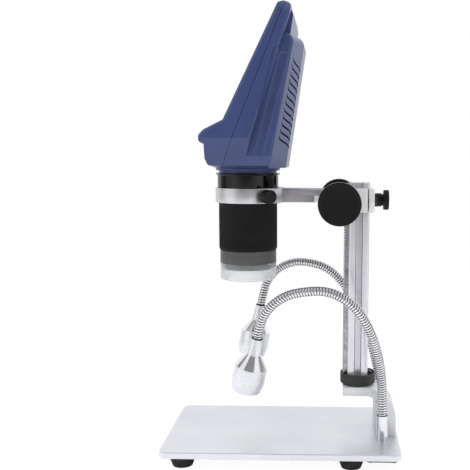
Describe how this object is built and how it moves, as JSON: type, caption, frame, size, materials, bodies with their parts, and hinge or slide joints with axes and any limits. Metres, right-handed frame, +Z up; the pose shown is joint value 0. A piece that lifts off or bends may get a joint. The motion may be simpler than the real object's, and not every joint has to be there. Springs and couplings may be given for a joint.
{
  "type": "digital microscope with display",
  "caption": "Bench microscope: blue screen head on a lens tube, held by a ring on a rack-and-pinion column over a plate, with a pair of gooseneck lamps.",
  "frame": {"origin": "middle of the base plate's outline, on the surface the feet stand on", "axes": "+Z up, -Y towards the user (screen side), +X to the user's right"},
  "size_m": [0.12, 0.2, 0.3759],
  "materials": {
    "sheet_aluminium": "fine brushed, clear anodised",
    "foot_rubber": "matt moulded",
    "screw_steel": "machined",
    "black_plastic": "fine texture",
    "circuit_board": "solder mask",
    "bracket_paint": "pale grey satin",
    "collar_metal": "satin black",
    "rod_aluminium": "bright anodised",
    "rack_steel": "milled teeth",
    "chrome": "polished",
    "arm_anodised": "dull anodised",
    "plate_aluminium": "brushed",
    "ring_aluminium": "turned and brushed",
    "bronze_bush": "sintered",
    "slide_plastic": "smooth",
    "knob_plastic": "satin with fine grip",
    "gloss_black": "glossy",
    "tube_anodised": "black anodised",
    "head_blue": "satin moulded",
    "lcd_dark": "unlit panel",
    "window_glass": "clear",
    "sleeve_rubber": "fine upright ribs",
    "ring_grey": "satin",
    "light_board": "white board",
    "lens_glass": "coated",
    "hood_clear": "clear moulded plastic",
    "key_plastic": "satin silver",
    "hose_chrome": "wound metal hose",
    "lamp_polished": "polished",
    "lamp_lens": "frosted"
  },
  "bodies": {
    "base": {"base_plate": "sheet_aluminium", "rubber_feet": "foot_rubber", "base_screws": "screw_steel", "driver_cover": "black_plastic", "driver_board": "circuit_board", "rod_bracket": "bracket_paint", "bracket_screws": "screw_steel", "rod_collar": "collar_metal", "collar_wedge": "collar_metal", "rod": "rod_aluminium", "rack": "rack_steel", "hose_ferrules": "chrome", "ferrule_nuts": "screw_steel"},
    "carriage": {"carriage_block": "arm_anodised", "guide_pads": "slide_plastic", "shaft_bushes": "bronze_bush", "clamp_plate": "plate_aluminium", "clamp_plate_screws": "screw_steel", "clamp_ring": "ring_aluminium", "ring_arm": "arm_anodised", "arm_screws": "screw_steel"},
    "focus_drive": {"focus_shaft": "screw_steel", "focus_pinion": "screw_steel", "focus_knob_left": "knob_plastic", "focus_knob_right": "knob_plastic"},
    "lock_knob": {"lock_knob": "knob_plastic"},
    "ring_thumbscrew": {"ring_thumbscrew": "knob_plastic"},
    "scope": {"tube_collar": "gloss_black", "lens_tube": "tube_anodised", "head_base_ring": "head_blue", "head_front_cover": "head_blue", "head_rear_cover": "head_blue", "case_screws": "screw_steel", "screw_plugs": "head_blue", "lcd_module": "lcd_dark", "display_window": "window_glass", "main_board": "circuit_board", "port_plate": "black_plastic", "port_sockets": "screw_steel", "sensor_board": "circuit_board", "lower_ring": "ring_grey", "light_ring": "light_board"},
    "focus_sleeve": {"focus_sleeve": "sleeve_rubber"},
    "lens_cell": {"lens_cell": "tube_anodised", "objective_lens": "lens_glass"},
    "lens_hood": {"lens_hood": "hood_clear"},
    "power_switch": {"power_switch": "black_plastic"},
    "key_1": {"key_1": "key_plastic"},
    "key_2": {"key_2": "key_plastic"},
    "key_3": {"key_3": "key_plastic"},
    "key_4": {"key_4": "key_plastic"},
    "key_5": {"key_5": "key_plastic"},
    "left_hose_lower": {"left_lamp_hose_lower": "hose_chrome"},
    "left_hose_upper": {"left_lamp_hose_upper": "hose_chrome"},
    "left_lamp": {"left_lamp_shell": "lamp_polished", "left_lamp_optic": "lamp_lens"},
    "right_hose_lower": {"right_lamp_hose_lower": "hose_chrome"},
    "right_hose_upper": {"right_lamp_hose_upper": "hose_chrome"},
    "right_lamp": {"right_lamp_shell": "lamp_polished", "right_lamp_optic": "lamp_lens"}
  },
  "joints": [
    {"name": "carriage_slide", "type": "slide", "parent": "base", "child": "carriage", "axis": [0, 0, 1], "range_m": [-0.07, 0.005]},
    {"name": "focus_knob_turn", "type": "hinge", "parent": "carriage", "child": "focus_drive", "pos_m": [0, 0.04748, 0.2185], "axis": [1, 0, 0], "range_deg": [-60, 825]},
    {"name": "lock_knob_turn", "type": "hinge", "parent": "carriage", "child": "lock_knob", "pos_m": [0, 0.08, 0.2199], "axis": [0, 1, 0], "range_deg": [0, 360]},
    {"name": "thumbscrew_turn", "type": "hinge", "parent": "carriage", "child": "ring_thumbscrew", "pos_m": [0, -0.031, 0.22365], "axis": [0.829, 0.5592, 0], "range_deg": [0, 360]},
    {"name": "head_swivel", "type": "hinge", "parent": "carriage", "child": "scope", "pos_m": [0, -0.031, 0.22365], "axis": [0, 0, 1], "range_deg": [-180, 180]},
    {"name": "sleeve_turn", "type": "hinge", "parent": "scope", "child": "focus_sleeve", "pos_m": [0, -0.031, 0.197], "axis": [0, 0, 1], "range_deg": [0, 270]},
    {"name": "lens_cell_slide", "type": "slide", "parent": "scope", "child": "lens_cell", "axis": [0, 0, 1], "range_m": [0, 0.008]},
    {"name": "hood_pull", "type": "slide", "parent": "scope", "child": "lens_hood", "axis": [0, 0, -1], "range_m": [0, 0.025]},
    {"name": "power_switch_press", "type": "slide", "parent": "scope", "child": "power_switch", "axis": [0, 1, 0], "range_m": [0, 0.001], "stiffness_N_per_m": 500, "springref_m": -0.001},
    {"name": "key_1_press", "type": "slide", "parent": "scope", "child": "key_1", "axis": [0, 0.9004, -0.435], "range_m": [0, 0.0008], "stiffness_N_per_m": 500, "springref_m": -0.001},
    {"name": "key_2_press", "type": "slide", "parent": "scope", "child": "key_2", "axis": [0, 0.9004, -0.435], "range_m": [0, 0.0008], "stiffness_N_per_m": 500, "springref_m": -0.001},
    {"name": "key_3_press", "type": "slide", "parent": "scope", "child": "key_3", "axis": [0, 0.9004, -0.435], "range_m": [0, 0.0008], "stiffness_N_per_m": 500, "springref_m": -0.001},
    {"name": "key_4_press", "type": "slide", "parent": "scope", "child": "key_4", "axis": [0, 0.9004, -0.435], "range_m": [0, 0.0008], "stiffness_N_per_m": 500, "springref_m": -0.001},
    {"name": "key_5_press", "type": "slide", "parent": "scope", "child": "key_5", "axis": [0, 0.9004, -0.435], "range_m": [0, 0.0008], "stiffness_N_per_m": 500, "springref_m": -0.001},
    {"name": "right_arm_swing", "type": "hinge", "parent": "base", "child": "right_hose_lower", "pos_m": [0.0245, 0.0856, 0.0371], "axis": [0, 0, 1], "range_deg": [0, 40]},
    {"name": "right_arm_bend", "type": "hinge", "parent": "right_hose_lower", "child": "right_hose_upper", "pos_m": [0.0514, 0.0176, 0.1484], "axis": [1, 0, 0], "range_deg": [-25, 25]},
    {"name": "right_lamp_tilt", "type": "hinge", "parent": "right_hose_upper", "child": "right_lamp", "pos_m": [0.046, -0.0188, 0.1105], "axis": [1, 0, 0], "range_deg": [-25, 25]},
    {"name": "left_arm_swing", "type": "hinge", "parent": "base", "child": "left_hose_lower", "pos_m": [-0.0245, 0.0856, 0.0371], "axis": [0, 0, -1], "range_deg": [0, 40]},
    {"name": "left_arm_bend", "type": "hinge", "parent": "left_hose_lower", "child": "left_hose_upper", "pos_m": [-0.0514, 0.016, 0.1582], "axis": [1, 0, 0], "range_deg": [-25, 25]},
    {"name": "left_lamp_tilt", "type": "hinge", "parent": "left_hose_upper", "child": "left_lamp", "pos_m": [-0.046, -0.0242, 0.1195], "axis": [1, 0, 0], "range_deg": [-25, 25]}
  ],
  "couplings": [
    {"joint": "focus_knob_turn", "follows": "carriage_slide", "rad_per_m": -205.13},
    {"joint": "sleeve_turn", "follows": "lens_cell_slide", "rad_per_m": 589}
  ]
}
